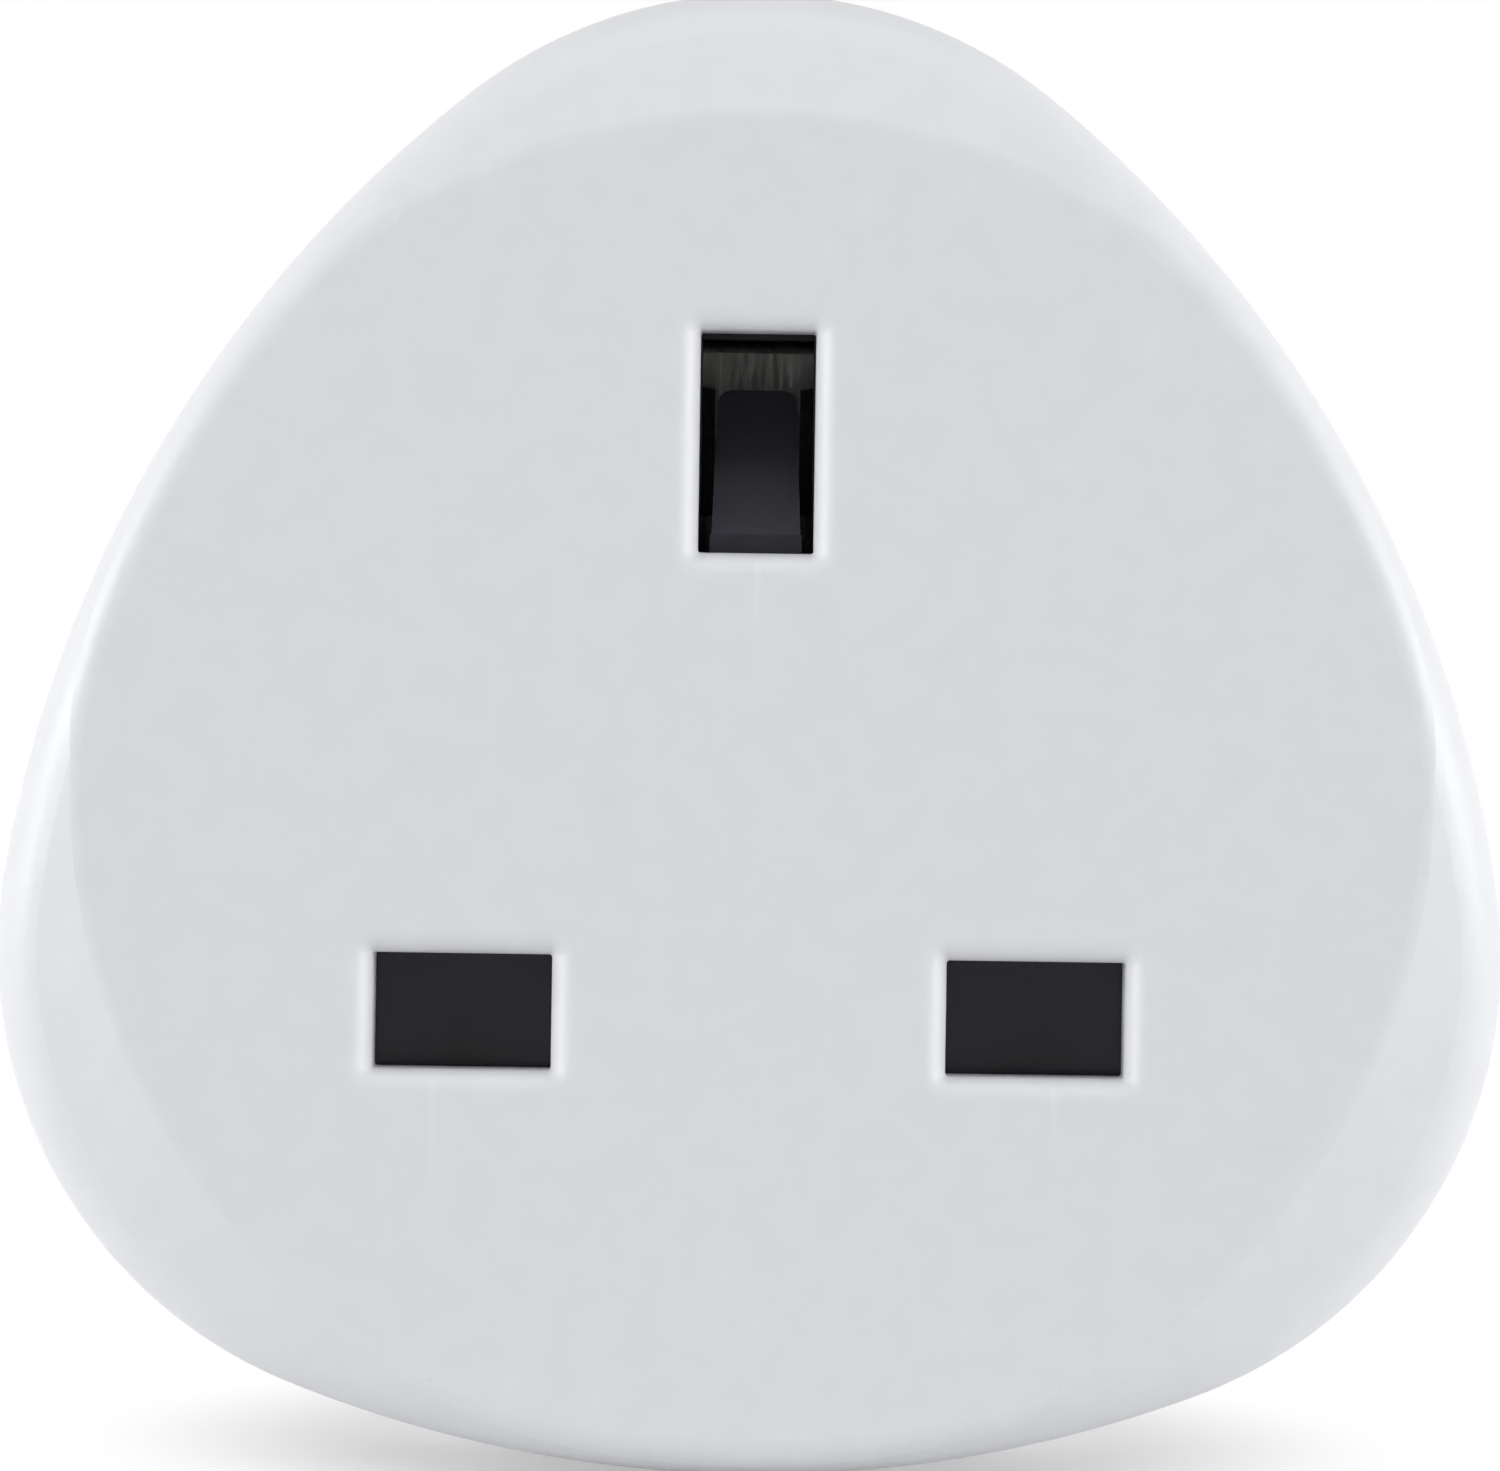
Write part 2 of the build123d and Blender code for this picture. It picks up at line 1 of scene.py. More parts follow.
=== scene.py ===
import bpy
import bmesh
import json
import math
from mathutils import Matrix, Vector


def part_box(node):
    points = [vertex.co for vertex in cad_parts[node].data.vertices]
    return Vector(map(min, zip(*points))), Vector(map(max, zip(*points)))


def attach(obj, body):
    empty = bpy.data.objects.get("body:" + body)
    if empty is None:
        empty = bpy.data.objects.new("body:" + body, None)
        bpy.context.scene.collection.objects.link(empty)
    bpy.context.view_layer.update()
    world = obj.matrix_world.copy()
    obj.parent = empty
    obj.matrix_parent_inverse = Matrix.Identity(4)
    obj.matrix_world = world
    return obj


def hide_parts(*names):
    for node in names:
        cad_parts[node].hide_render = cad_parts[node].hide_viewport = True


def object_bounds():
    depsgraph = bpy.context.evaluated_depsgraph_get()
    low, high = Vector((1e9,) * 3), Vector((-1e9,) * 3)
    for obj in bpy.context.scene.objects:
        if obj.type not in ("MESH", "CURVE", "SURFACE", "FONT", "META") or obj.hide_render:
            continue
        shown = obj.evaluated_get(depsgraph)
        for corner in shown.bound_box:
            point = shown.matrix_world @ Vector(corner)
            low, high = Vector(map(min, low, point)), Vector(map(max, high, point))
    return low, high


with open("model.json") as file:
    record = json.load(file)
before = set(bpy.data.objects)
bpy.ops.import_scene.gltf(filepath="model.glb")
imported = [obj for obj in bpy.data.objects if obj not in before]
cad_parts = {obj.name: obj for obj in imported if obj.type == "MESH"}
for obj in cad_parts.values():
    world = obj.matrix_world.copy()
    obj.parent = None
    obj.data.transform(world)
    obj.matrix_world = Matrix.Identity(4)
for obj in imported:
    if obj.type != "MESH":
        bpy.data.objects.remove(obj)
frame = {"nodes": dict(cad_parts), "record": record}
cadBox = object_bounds()
nodes = frame["nodes"]
openings = frame["record"]["physics"]["openings"]
mm = 0.001
print("frame loaded")


# view of the photograph: square on to the socket face, the adapter leaning a little

cameraView = {
    "distance": 450 * mm,       # from the socket face
    "faceScale": 25.84,         # picture pixels per mm on the face
    "pictureWidth": 1500,
    "pictureCentre": (750, 735.5),
    "axisPixel": (752, 790),    # middle of the face disc
    "lean": -0.86,              # degrees, the adapter leans to the right
    "sensor": 36,
}


def addCamera(view):
    data = bpy.data.cameras.new("photoCamera")
    camera = bpy.data.objects.new("photoCamera", data)
    bpy.context.scene.collection.objects.link(camera)
    faceY = cadBox[0].y
    perMm = view["faceScale"]
    widthMm = view["pictureWidth"] / perMm
    data.sensor_width = view["sensor"]
    data.lens = view["sensor"] * view["distance"] / (widthMm * mm)
    data.clip_start = 10 * mm
    data.clip_end = 20
    lean = math.radians(view["lean"])
    right = (view["pictureCentre"][0] - view["axisPixel"][0]) / perMm * mm
    up = (view["axisPixel"][1] - view["pictureCentre"][1]) / perMm * mm
    x = right * math.cos(lean) + up * math.sin(lean)
    z = up * math.cos(lean) - right * math.sin(lean)
    camera.location = (x, faceY - view["distance"], z)
    camera.rotation_euler = (math.radians(90), lean, 0)
    bpy.context.scene.camera = camera


addCamera(cameraView)
print("camera placed")


# what every material uses

def hexColour(code):
    # sRGB hex to the linear values that Blender works in
    values = [int(code[i:i + 2], 16) / 255 for i in (1, 3, 5)]
    linear = [v / 12.92 if v <= 0.04045 else ((v + 0.055) / 1.055) ** 2.4 for v in values]
    return (*linear, 1)


def addNode(tree, kind, settings=None, links=None):
    # one node: its properties and sockets set, its inputs linked from other nodes
    node = tree.nodes.new(kind)
    for key, value in (settings or {}).items():
        if isinstance(key, int) or key in node.inputs:
            node.inputs[key].default_value = value
        else:
            setattr(node, key, value)
    for key, source in (links or {}).items():
        tree.links.new(source, node.inputs[key])
    return node


def newMaterial(name, settings):
    material = bpy.data.materials.new(name)
    material.use_nodes = True
    shader = material.node_tree.nodes["Principled BSDF"]
    for key, value in settings.items():
        shader.inputs[key].default_value = value
    return material, material.node_tree, shader


# where the values of a noise texture mostly lie
noiseSpread = (0.3, 0.7)

# Polycarbonate blend, moulded in an eroded tool: cool white, satin, fine even grain
shellFinish = {
    "colour": "#E6E7EA",
    "thinColour": "#DFE0E3",    # where the melt cooled a little faster
    "cloudMm": 1.6,
    "ior": 1.55,
    "roughness": (0.38, 0.46),
    "grainMm": 0.14,            # the real grain is near 0.05 mm, too fine to show
    "grainDepthMm": 0.004,
    "grainStrength": 0.4,
    "lineColour": "#E8E9EC",    # weld line, where the melt met again below a slot
    "lineWidthMm": 0.2,
    "lineDepthMm": 0.2,         # the lines show on the face only, no deeper than this
    # how far each line lies from the middle of its slot, and its length, in mm
    "lines": {"live_slot": (0.74, 3.7), "neutral_slot": (-1.09, 6.0), "earth_slot": (0.08, 4.2)},
}


def weldLines(tree, place, finish):
    # strength of the hairline that runs down from each slot of the face
    total = None
    axes = addNode(tree, "ShaderNodeSeparateXYZ", {}, {0: place})
    onFace = addNode(tree, "ShaderNodeMath", {
        "operation": "LESS_THAN", 1: cadBox[0].y + finish["lineDepthMm"] * mm,
    }, {0: axes.outputs["Y"]})
    for opening in openings:
        low, high = opening["box_m"]
        beside, length = finish["lines"][opening["name"]]
        aside = addNode(tree, "ShaderNodeMath", {
            "operation": "SUBTRACT", 1: (low[0] + high[0]) / 2 + beside * mm,
        }, {0: axes.outputs["X"]})
        distance = addNode(tree, "ShaderNodeMath", {"operation": "ABSOLUTE"}, {0: aside.outputs["Value"]})
        across = addNode(tree, "ShaderNodeMapRange", {
            "From Min": 0, "From Max": finish["lineWidthMm"] * mm, "To Min": 1, "To Max": 0,
        }, {"Value": distance.outputs["Value"]})
        below = addNode(tree, "ShaderNodeMath", {"operation": "LESS_THAN", 1: low[2]}, {0: axes.outputs["Z"]})
        fading = addNode(tree, "ShaderNodeMapRange", {
            "From Min": low[2] - length * mm, "From Max": low[2],
        }, {"Value": axes.outputs["Z"]})
        strength = onFace.outputs["Value"]
        for part in (across.outputs["Result"], below.outputs["Value"], fading.outputs["Result"]):
            strength = addNode(tree, "ShaderNodeMath", {"operation": "MULTIPLY"}, {
                0: strength, 1: part,
            }).outputs["Value"]
        total = strength if total is None else addNode(tree, "ShaderNodeMath", {"operation": "MAXIMUM"}, {
            0: total, 1: strength,
        }).outputs["Value"]
    return total


def satinWhitePolycarbonate(finish):
    material, tree, shader = newMaterial("satinWhitePolycarbonate", {"IOR": finish["ior"]})
    where = addNode(tree, "ShaderNodeTexCoord")
    cloud = addNode(tree, "ShaderNodeTexNoise", {
        "Scale": 1 / (finish["cloudMm"] * mm), "Detail": 4,
    }, {"Vector": where.outputs["Object"]})
    tone = addNode(tree, "ShaderNodeMix", {
        "data_type": "RGBA", 6: hexColour(finish["thinColour"]), 7: hexColour(finish["colour"]),
    }, {0: cloud.outputs["Fac"]})
    lined = addNode(tree, "ShaderNodeMix", {"data_type": "RGBA", 7: hexColour(finish["lineColour"])}, {
        0: weldLines(tree, where.outputs["Object"], finish), 6: tone.outputs[2],
    })
    tree.links.new(lined.outputs[2], shader.inputs["Base Color"])
    gloss = addNode(tree, "ShaderNodeMapRange", {
        "From Min": noiseSpread[0], "From Max": noiseSpread[1],
        "To Min": finish["roughness"][0], "To Max": finish["roughness"][1],
    }, {"Value": cloud.outputs["Fac"]})
    tree.links.new(gloss.outputs["Result"], shader.inputs["Roughness"])
    grain = addNode(tree, "ShaderNodeTexNoise", {
        "Scale": 1 / (finish["grainMm"] * mm), "Detail": 3,
    }, {"Vector": where.outputs["Object"]})
    bump = addNode(tree, "ShaderNodeBump", {
        "Strength": finish["grainStrength"], "Distance": finish["grainDepthMm"] * mm,
    }, {"Height": grain.outputs["Fac"]})
    tree.links.new(bump.outputs["Normal"], shader.inputs["Normal"])
    return material


# Acetal, moulded in a polished tool: blue black, a soft gloss, faintly wavy; on the ramp in the earth slot a
# painted sheen makes it paler
shutterFinish = {
    "colour": "#2B2B30",
    "paintedSheenColour": "#52525B",      # the ramp, painted paler: a painted sheen standing in for the light the ramp reflects from above
    "paintedSheenFromMm": (-1.5, -0.5),   # heights, from the foot of the earth slot, between which the painted sheen comes in
    "ior": 1.48,
    "roughness": (0.16, 0.21),
    "waveMm": 3,
    "waveDepthMm": 0.01,
    "waveStrength": 0.2,
    "smearMm": 1.5,
}


def glossBlackAcetal(finish):
    material, tree, shader = newMaterial("glossBlackAcetal", {"IOR": finish["ior"]})
    where = addNode(tree, "ShaderNodeTexCoord")
    slotFoot = next(opening["box_m"][0][2] for opening in openings if opening["name"] == "earth_slot")
    begins, full = finish["paintedSheenFromMm"]
    axes = addNode(tree, "ShaderNodeSeparateXYZ", {}, {0: where.outputs["Object"]})
    # painted sheen: the shutter is paler from just below the foot of the earth slot upwards, in place of
    # light reflected from above
    paintedSheenMask = addNode(tree, "ShaderNodeMapRange", {
        "From Min": slotFoot + begins * mm, "From Max": slotFoot + full * mm,
    }, {"Value": axes.outputs["Z"]})
    tone = addNode(tree, "ShaderNodeMix", {
        "data_type": "RGBA", 6: hexColour(finish["colour"]), 7: hexColour(finish["paintedSheenColour"]),
    }, {0: paintedSheenMask.outputs["Result"]})
    tree.links.new(tone.outputs[2], shader.inputs["Base Color"])
    wave = addNode(tree, "ShaderNodeTexNoise", {
        "Scale": 1 / (finish["waveMm"] * mm), "Detail": 1,
    }, {"Vector": where.outputs["Object"]})
    bump = addNode(tree, "ShaderNodeBump", {
        "Strength": finish["waveStrength"], "Distance": finish["waveDepthMm"] * mm,
    }, {"Height": wave.outputs["Fac"]})
    tree.links.new(bump.outputs["Normal"], shader.inputs["Normal"])
    smear = addNode(tree, "ShaderNodeTexNoise", {
        "Scale": 1 / (finish["smearMm"] * mm), "Detail": 3,
    }, {"Vector": where.outputs["Object"]})
    gloss = addNode(tree, "ShaderNodeMapRange", {
        "From Min": noiseSpread[0], "From Max": noiseSpread[1],
        "To Min": finish["roughness"][0], "To Max": finish["roughness"][1],
    }, {"Value": smear.outputs["Fac"]})
    tree.links.new(gloss.outputs["Result"], shader.inputs["Roughness"])
    return material


# Nylon, moulded: dull, with the grain of its glass fibres
nylon = {"ior": 1.53, "grainStrength": 0.4, "glossSpread": (0.85, 1.15)}
carrierFinish = {
    "name": "fibreBlackNylon",
    "colour": "#333336",
    "roughness": 0.6,
    "fibreMm": 0.3,
    "depthMm": 0.01,
}
plateFinish = {
    "name": "plainGreyNylon",
    "colour": "#9A9A96",
    "roughness": 0.5,
    "fibreMm": 0.4,
    "depthMm": 0.008,
}


def mouldedNylon(finish):
    material, tree, shader = newMaterial(finish["name"], {
        "Base Color": hexColour(finish["colour"]),
        "IOR": nylon["ior"],
    })
    where = addNode(tree, "ShaderNodeTexCoord")
    fibre = addNode(tree, "ShaderNodeTexNoise", {
        "Scale": 1 / (finish["fibreMm"] * mm), "Detail": 4,
    }, {"Vector": where.outputs["Object"]})
    bump = addNode(tree, "ShaderNodeBump", {
        "Strength": nylon["grainStrength"], "Distance": finish["depthMm"] * mm,
    }, {"Height": fibre.outputs["Fac"]})
    tree.links.new(bump.outputs["Normal"], shader.inputs["Normal"])
    least, most = nylon["glossSpread"]
    gloss = addNode(tree, "ShaderNodeMapRange", {
        "To Min": finish["roughness"] * least, "To Max": finish["roughness"] * most,
    }, {"Value": fibre.outputs["Fac"]})
    tree.links.new(gloss.outputs["Result"], shader.inputs["Roughness"])
    return material


# Metals: fine lines along the way each was drawn, rolled or turned, seen as a soft change of gloss
metalFinishes = {
    # brass strip, rolled, bare
    "contact_brass": {"name": "rolledBrass", "colour": "#C79A4B", "roughness": 0.3, "lineMm": 0.25,
                      "stretch": (1, 0.1, 1)},
    # turned brass, nickel plated: rings round the pin
    "pin_nickel": {"name": "nickelPlatedBrass", "colour": "#C9C5BC", "roughness": 0.2, "lineMm": 0.15,
                   "stretch": (0.1, 1, 0.1)},
    # spring wire and strip, drawn, oiled
    "spring_steel": {"name": "drawnSpringSteel", "colour": "#A9AAAD", "roughness": 0.3, "lineMm": 0.15,
                     "stretch": (1, 1, 0.1)},
    # screws, cold headed, zinc plated
    "screw_zinc": {"name": "zincPlatedSteel", "colour": "#B9BCC1", "roughness": 0.33, "lineMm": 0.2,
                   "stretch": (1, 0.3, 1)},
}
# rolled strip, nickel plated without a shine
bridgeFinish = {"name": "mattNickelStrip", "colour": "#DEDDD8", "roughness": 0.34, "lineMm": 0.2,
                "stretch": (1, 0.1, 0.1)}
# rolled brass strip, tinned where it shows beside the shutter: grey, softly shining
earthFinish = {"name": "tinnedBrassStrip", "colour": "#C6C6C4", "roughness": 0.35, "lineMm": 0.2,
               "stretch": (1, 0.1, 1)}
metalLines = {"glossSpread": (0.75, 1.3), "strength": 0.2, "depthMm": 0.004}


def workedMetal(finish):
    material, tree, shader = newMaterial(finish["name"], {
        "Base Color": hexColour(finish["colour"]),
        "Metallic": 1,
    })
    where = addNode(tree, "ShaderNodeTexCoord")
    along = addNode(tree, "ShaderNodeMapping", {
        "Scale": finish["stretch"],
    }, {"Vector": where.outputs["Object"]})
    lines = addNode(tree, "ShaderNodeTexNoise", {
        "Scale": 1 / (finish["lineMm"] * mm), "Detail": 3,
    }, {"Vector": along.outputs["Vector"]})
    least, most = metalLines["glossSpread"]
    gloss = addNode(tree, "ShaderNodeMapRange", {
        "From Min": noiseSpread[0], "From Max": noiseSpread[1],
        "To Min": finish["roughness"] * least, "To Max": finish["roughness"] * most,
    }, {"Value": lines.outputs["Fac"]})
    tree.links.new(gloss.outputs["Result"], shader.inputs["Roughness"])
    bump = addNode(tree, "ShaderNodeBump", {
        "Strength": metalLines["strength"], "Distance": metalLines["depthMm"] * mm,
    }, {"Height": lines.outputs["Fac"]})
    tree.links.new(bump.outputs["Normal"], shader.inputs["Normal"])
    return material


slotMaterials = {slotName: workedMetal(finish) for slotName, finish in metalFinishes.items()}
slotMaterials["white_shell"] = satinWhitePolycarbonate(shellFinish)
slotMaterials["black_shutter"] = glossBlackAcetal(shutterFinish)
slotMaterials["black_carrier"] = mouldedNylon(carrierFinish)
slotMaterials["grey_plate"] = mouldedNylon(plateFinish)

for part in frame["record"]["subparts"]:
    mesh = nodes[part["node"]].data
    mesh.materials.clear()
    mesh.materials.append(slotMaterials[part["material_slot"]])
nodes["earth_bridge"].data.materials[0] = workedMetal(bridgeFinish)
nodes["earth_contact"].data.materials[0] = workedMetal(earthFinish)
print("materials assigned")


# housing screws: self-tapping, domed pan head, tapered cross recess

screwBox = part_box("housing_screws")
# one screw is above the axis, two are half as far below it
screwHeadRadius = -(screwBox[1].z + 2 * screwBox[0].z)
housingScrew = {
    "headRadius": screwHeadRadius,
    "ring": screwBox[1].z - screwHeadRadius,
    "lobes": (90, 210, 330),    # degrees round the axis
    "drivenTo": (17, 58, 99),   # degrees, each was driven home to its own angle
    "headHeight": 2.1 * mm,
    "rimShare": 0.38,           # of the head's height, upright
    "flatShare": 0.45,          # of the head's radius, flat on top
    "domeRings": 8,
    "headFlats": 48,
    "tipY": screwBox[0].y,
    "topY": screwBox[1].y,
    "coreRadius": 1.05 * mm,
    "coreFlats": 24,
    "tipLength": 1.6 * mm,
    "tipShare": 0.25,           # of the core's radius, at the very tip
    "overlap": 0.2 * mm,        # of shank and head
    "threadRadius": 1.45 * mm,
    "threadSink": 0.1 * mm,     # of the ridge's foot in the core
    "threadShare": 0.28,        # half the ridge's foot, of the pitch
    "threadEnd": 0.6 * mm,      # plain shank below the head
    "pitch": 1.1 * mm,
    "crossSpan": 3.3 * mm,
    "crossWidth": 0.75 * mm,
    "crossDepth": 1.25 * mm,
    "crossTaper": 0.5,          # size at the bottom of the cutter
    "closePoints": 0.002 * mm,
    "wear": 0.05 * mm,
    "wearAngle": 50,
    "smoothAngle": 35,
}


def growCap(steps):
    # the selected cap is drawn up and resized step by step: (rise, scale)
    for rise, scale in steps:
        bpy.ops.mesh.extrude_region_move(TRANSFORM_OT_translate={"value": (0, 0, rise)})
        bpy.ops.transform.resize(value=(scale, scale, 1))


def turnedPiece(name, radius, low, steps, flats):
    bpy.ops.object.select_all(action="DESELECT")
    bpy.ops.mesh.primitive_circle_add(vertices=flats, radius=radius, fill_type="NGON", location=(0, 0, low))
    piece = bpy.context.active_object
    piece.name = name
    bpy.ops.object.transform_apply(location=True, rotation=True, scale=True)
    bpy.ops.object.mode_set(mode="EDIT")
    growCap(steps)
    bpy.ops.mesh.select_all(action="SELECT")
    bpy.ops.mesh.normals_make_consistent(inside=False)
    bpy.ops.object.mode_set(mode="OBJECT")
    return piece


def screwHead(shape):
    radius, height = shape["headRadius"], shape["headHeight"]
    flat, rings = shape["flatShare"], shape["domeRings"]
    rim = height * shape["rimShare"]
    steps = [(rim, 1.0)]
    # dome: a quarter ellipse above the rim, flat in the middle
    reach, last = radius, 0
    for ring in range(1, rings):
        turn = math.radians(90 * ring / rings)
        wide = radius * (flat + (1 - flat) * math.cos(turn))
        rise = (height - rim) * math.sin(turn)
        steps.append((rise - last, wide / reach))
        reach, last = wide, rise
    steps.append((height - rim - last, flat * radius / reach))
    return turnedPiece("screwHead", radius, 0, steps, shape["headFlats"])


def crossCutter(shape, angle):
    # one tapered wing of the recess
    bpy.ops.object.select_all(action="DESELECT")
    bpy.ops.mesh.primitive_cube_add(size=1, location=(0, 0, 0))
    cutter = bpy.context.active_object
    cutter.scale = (shape["crossSpan"], shape["crossWidth"], shape["crossDepth"] * 2)
    cutter.location = (0, 0, shape["headHeight"])
    cutter.rotation_euler = (0, 0, angle)
    bpy.ops.object.transform_apply(location=True, rotation=True, scale=True)
    bpy.ops.object.mode_set(mode="EDIT")
    bpy.ops.mesh.select_all(action="DESELECT")
    # the face at the bottom
    form = bmesh.from_edit_mesh(cutter.data)
    for face in form.faces:
        face.select = face.normal.z < -0.5
    bmesh.update_edit_mesh(cutter.data)
    bpy.ops.transform.resize(value=(shape["crossTaper"], shape["crossTaper"], 1))
    bpy.ops.object.mode_set(mode="OBJECT")
    return cutter


def cutWith(piece, cutter, operation):
    bpy.ops.object.select_all(action="DESELECT")
    bpy.context.view_layer.objects.active = piece
    piece.select_set(True)
    cut = piece.modifiers.new("cut", "BOOLEAN")
    cut.operation = operation
    cut.solver = "EXACT"
    cut.object = cutter
    bpy.ops.object.modifier_apply(modifier="cut")
    bpy.data.objects.remove(cutter)


def screwShank(shape):
    # cone and core, up into the head
    length = shape["topY"] - shape["headHeight"] - shape["tipY"]
    tip, share = shape["tipLength"], shape["tipShare"]
    steps = [(tip, 1 / share), (length - tip + shape["overlap"], 1.0)]
    return turnedPiece("screwShank", shape["coreRadius"] * share, -length, steps, shape["coreFlats"])


def screwThread(shape):
    # a sharp ridge wound round the core, its ends closed
    length = shape["topY"] - shape["headHeight"] - shape["tipY"]
    turns = int((length - shape["tipLength"] - shape["threadEnd"]) / shape["pitch"])
    outer, inner = shape["threadRadius"], shape["coreRadius"] - shape["threadSink"]
    half = shape["pitch"] * shape["threadShare"]
    start = -length + shape["tipLength"]
    # three corners, set out as the ridge's section
    bpy.ops.object.select_all(action="DESELECT")
    bpy.ops.mesh.primitive_circle_add(vertices=3, radius=half, fill_type="NOTHING", location=(0, 0, 0))
    ridge = bpy.context.active_object
    ridge.name = "screwThread"
    section = ((outer, 0, start), (inner, 0, start + half), (inner, 0, start - half))
    for corner, place in zip(ridge.data.vertices, section):
        corner.co = place
    wind = ridge.modifiers.new("wind", "SCREW")
    wind.axis = "Z"
    wind.angle = math.radians(360)
    wind.screw_offset = shape["pitch"]
    wind.iterations = turns
    wind.steps = shape["coreFlats"]
    wind.render_steps = shape["coreFlats"]
    bpy.ops.object.modifier_apply(modifier="wind")
    bpy.ops.object.mode_set(mode="EDIT")
    bpy.ops.mesh.select_all(action="SELECT")
    bpy.ops.mesh.remove_doubles(threshold=0.0001 * mm)
    bpy.ops.mesh.select_all(action="SELECT")
    bpy.ops.mesh.fill_holes(sides=3)
    bpy.ops.mesh.select_all(action="SELECT")
    bpy.ops.mesh.normals_make_consistent(inside=False)
    bpy.ops.object.mode_set(mode="OBJECT")
    return ridge


def joinClosePoints(piece, near):
    bpy.ops.object.select_all(action="DESELECT")
    bpy.context.view_layer.objects.active = piece
    piece.select_set(True)
    bpy.ops.object.mode_set(mode="EDIT")
    bpy.ops.mesh.select_all(action="SELECT")
    bpy.ops.mesh.remove_doubles(threshold=near)
    bpy.ops.mesh.select_all(action="SELECT")
    bpy.ops.mesh.dissolve_degenerate(threshold=near)
    bpy.ops.object.mode_set(mode="OBJECT")


def wholeScrew(shape):
    # along Z, its head up, the seat of the head at the origin
    screw = screwHead(shape)
    for angle in (0, math.radians(90)):
        cutWith(screw, crossCutter(shape, angle), "DIFFERENCE")
    cutWith(screw, screwShank(shape), "UNION")
    cutWith(screw, screwThread(shape), "UNION")
    joinClosePoints(screw, shape["closePoints"])
    bevel = screw.modifiers.new("worn", "BEVEL")
    bevel.width = shape["wear"]
    bevel.segments = 2
    bevel.limit_method = "ANGLE"
    bevel.angle_limit = math.radians(shape["wearAngle"])
    bpy.ops.object.modifier_apply(modifier="worn")
    joinClosePoints(screw, shape["closePoints"])
    bpy.ops.object.shade_smooth_by_angle(angle=math.radians(shape["smoothAngle"]))
    return screw


def addHousingScrews(shape):
    pattern = wholeScrew(shape)
    seat = shape["topY"] - shape["headHeight"]
    for number, (lobe, driven) in enumerate(zip(shape["lobes"], shape["drivenTo"])):
        screw = pattern.copy()
        screw.data = pattern.data.copy()
        screw.name = "housingScrew%d" % (number + 1)
        bpy.context.scene.collection.objects.link(screw)
        bpy.ops.object.select_all(action="DESELECT")
        bpy.context.view_layer.objects.active = screw
        screw.select_set(True)
        # laid along Y, turned about its own axis, then set in its recess
        screw.rotation_euler = (math.radians(-90), 0, 0)
        bpy.ops.object.transform_apply(location=False, rotation=True, scale=False)
        place = math.radians(lobe)
        screw.rotation_euler = (0, math.radians(driven), 0)
        screw.location = (shape["ring"] * math.cos(place), seat, shape["ring"] * math.sin(place))
        bpy.ops.object.transform_apply(location=True, rotation=True, scale=True)
        screw.data.materials.clear()
        screw.data.materials.append(slotMaterials["screw_zinc"])
        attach(screw, "body")
        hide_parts("housing_screws")
    bpy.data.objects.remove(pattern)


addHousingScrews(housingScrew)
print("housing screws made")


# floor: pale, with the adapter's soft shadow, running out into the white of the room

floorSet = {
    "drop": 0.3 * mm,           # below the lowest point of the adapter
    "size": 6.0,
    "colour": "#E9E9EA",
    "roughness": 0.7,
    "stretch": 2.2,                     # the patch that keeps the shadow is longer along Y by this
    "shadowReach": (14 * mm, 28 * mm),  # half width of the patch: kept inside, white outside
    "shadowLift": 0.4,                  # share of white inside the patch, which keeps the shadow soft
    "mirrorY": (-200 * mm, -60 * mm),   # seen in gloss it is white from here on, as the room is
}


def floorMaterial(settings):
    material, tree, shader = newMaterial("paleFloor", {
        "Base Color": hexColour(settings["colour"]),
        "Roughness": settings["roughness"],
    })
    middle = (cadBox[0] + cadBox[1]) / 2
    longer = settings["stretch"]
    where = addNode(tree, "ShaderNodeTexCoord")
    moved = addNode(tree, "ShaderNodeMapping", {
        "Location": (-middle.x, -middle.y / longer, 0), "Scale": (1, 1 / longer, 0),
    }, {"Vector": where.outputs["Object"]})
    away = addNode(tree, "ShaderNodeVectorMath", {"operation": "LENGTH"}, {0: moved.outputs["Vector"]})
    near, far = settings["shadowReach"]
    fade = addNode(tree, "ShaderNodeMapRange", {
        "interpolation_type": "SMOOTHSTEP",
        "From Min": near, "From Max": far, "To Min": settings["shadowLift"],
    }, {"Value": away.outputs["Value"]})
    path = addNode(tree, "ShaderNodeLightPath")
    mirrored = addNode(tree, "ShaderNodeMath", {"operation": "MAXIMUM"}, {
        0: path.outputs["Is Glossy Ray"], 1: path.outputs["Is Transmission Ray"],
    })
    axes = addNode(tree, "ShaderNodeSeparateXYZ", {}, {0: where.outputs["Object"]})
    behind = addNode(tree, "ShaderNodeMapRange", {
        "interpolation_type": "SMOOTHSTEP",
        "From Min": settings["mirrorY"][0], "From Max": settings["mirrorY"][1],
    }, {"Value": axes.outputs["Y"]})
    inGloss = addNode(tree, "ShaderNodeMath", {"operation": "MULTIPLY"}, {
        0: mirrored.outputs["Value"], 1: behind.outputs["Result"],
    })
    seen = addNode(tree, "ShaderNodeMath", {"operation": "MAXIMUM"}, {
        0: path.outputs["Is Camera Ray"], 1: inGloss.outputs["Value"],
    })
    share = addNode(tree, "ShaderNodeMath", {"operation": "MULTIPLY"}, {
        0: seen.outputs["Value"], 1: fade.outputs["Result"],
    })
    white = addNode(tree, "ShaderNodeEmission", {"Color": (1, 1, 1, 1), "Strength": 1})
    both = addNode(tree, "ShaderNodeMixShader", {}, {
        0: share.outputs["Value"], 1: shader.outputs["BSDF"], 2: white.outputs["Emission"],
    })
    tree.links.new(both.outputs["Shader"], tree.nodes["Material Output"].inputs["Surface"])
    return material


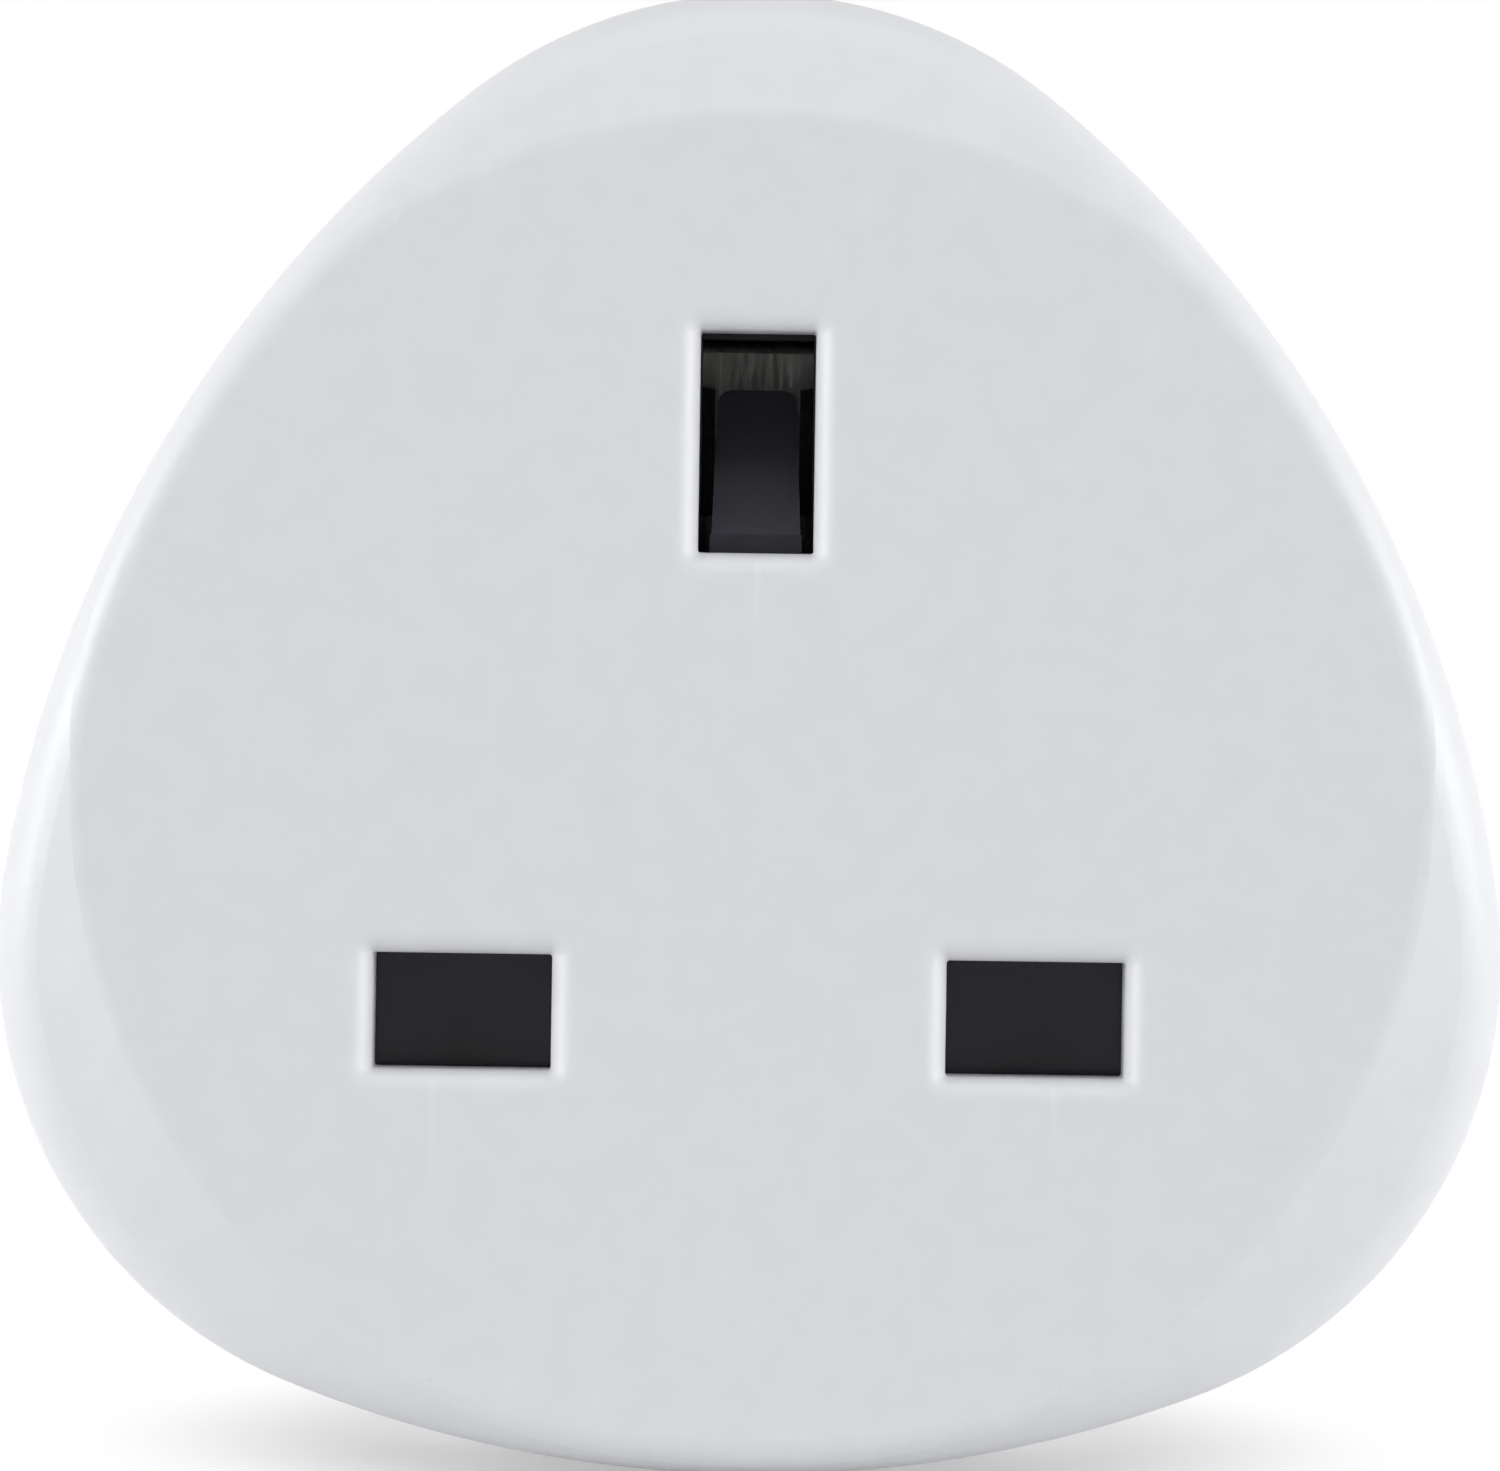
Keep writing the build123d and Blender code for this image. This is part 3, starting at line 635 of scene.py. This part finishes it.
def addFloor(settings):
    bpy.ops.object.select_all(action="DESELECT")
    low = cadBox[0].z - settings["drop"]
    bpy.ops.mesh.primitive_plane_add(size=settings["size"], location=(0, 0, low))
    floor = bpy.context.active_object
    floor.name = "floor"
    bpy.ops.object.transform_apply(location=True, rotation=True, scale=True)
    floor.data.materials.append(floorMaterial(settings))


# room: white as seen and mirrored, a softer light on things, dim where the photographer stands

room = {
    "seen": 1.0,                # white of the background, also in gloss
    "seenFront": 0.05,          # in gloss, the dim end along -Y
    "light": 0.40,              # light that the white side gives
    "lightFront": 0.0,
    "dimFrom": -0.05,           # Y of the direction in which the dimming begins
    "dimTo": -0.75,             # and ends
}


def addRoom(settings):
    world = bpy.data.worlds.new("whiteRoom")
    bpy.context.scene.world = world
    world.use_nodes = True
    tree = world.node_tree
    tree.nodes.clear()
    where = addNode(tree, "ShaderNodeTexCoord")
    axes = addNode(tree, "ShaderNodeSeparateXYZ", {}, {0: where.outputs["Generated"]})
    levels = []
    for front, behind in (("lightFront", "light"), ("seenFront", "seen")):
        levels.append(addNode(tree, "ShaderNodeMapRange", {
            "interpolation_type": "SMOOTHSTEP",
            "From Min": settings["dimTo"], "From Max": settings["dimFrom"],
            "To Min": settings[front], "To Max": settings[behind],
        }, {"Value": axes.outputs["Y"]}).outputs["Result"])
    path = addNode(tree, "ShaderNodeLightPath")
    mirrored = addNode(tree, "ShaderNodeMath", {"operation": "MAXIMUM"}, {
        0: path.outputs["Is Glossy Ray"], 1: path.outputs["Is Transmission Ray"],
    })
    level = addNode(tree, "ShaderNodeMix", {}, {0: mirrored.outputs["Value"], 2: levels[0], 3: levels[1]})
    strength = addNode(tree, "ShaderNodeMath", {"operation": "MAXIMUM"}, {
        0: level.outputs[0], 1: path.outputs["Is Camera Ray"],
    })
    light = addNode(tree, "ShaderNodeBackground", {
        "Color": (1, 1, 1, 1),
    }, {"Strength": strength.outputs["Value"]})
    addNode(tree, "ShaderNodeOutputWorld", {}, {"Surface": light.outputs["Background"]})


# white walls of the light tent beside and above the adapter, and three soft boxes in front; power is in watts

lamps = {
    "leftWall": {"at": (-0.75, -0.20, 0), "size": (0.4, 0.7), "power": 5.4},
    "rightWall": {"at": (0.75, -0.20, 0), "size": (0.4, 0.7), "power": 5.4},
    "ceiling": {"at": (0, -0.18, 0.75), "size": (0.7, 0.4), "power": 0.85},
    "leftBox": {"at": (-0.60, -0.50, 0), "size": (0.45, 0.6), "power": 2.1},
    "rightBox": {"at": (0.60, -0.50, 0), "size": (0.45, 0.6), "power": 2.1},
    "topBox": {"at": (0, -0.55, 0.65), "size": (0.6, 0.4), "power": 1.0},
}


def addLamps(lampList):
    target = Vector((0, cadBox[0].y, 0))
    for name, lamp in lampList.items():
        light = bpy.data.lights.new(name, "AREA")
        light.shape = "RECTANGLE"
        light.size, light.size_y = lamp["size"]
        light.energy = lamp["power"]
        holder = bpy.data.objects.new(name, light)
        bpy.context.scene.collection.objects.link(holder)
        holder.location = lamp["at"]
        holder.rotation_euler = (target - holder.location).to_track_quat("-Z", "Y").to_euler()


addFloor(floorSet)
addRoom(room)
addLamps(lamps)
bpy.context.scene.view_settings.view_transform = "Standard"
print("stage lit")
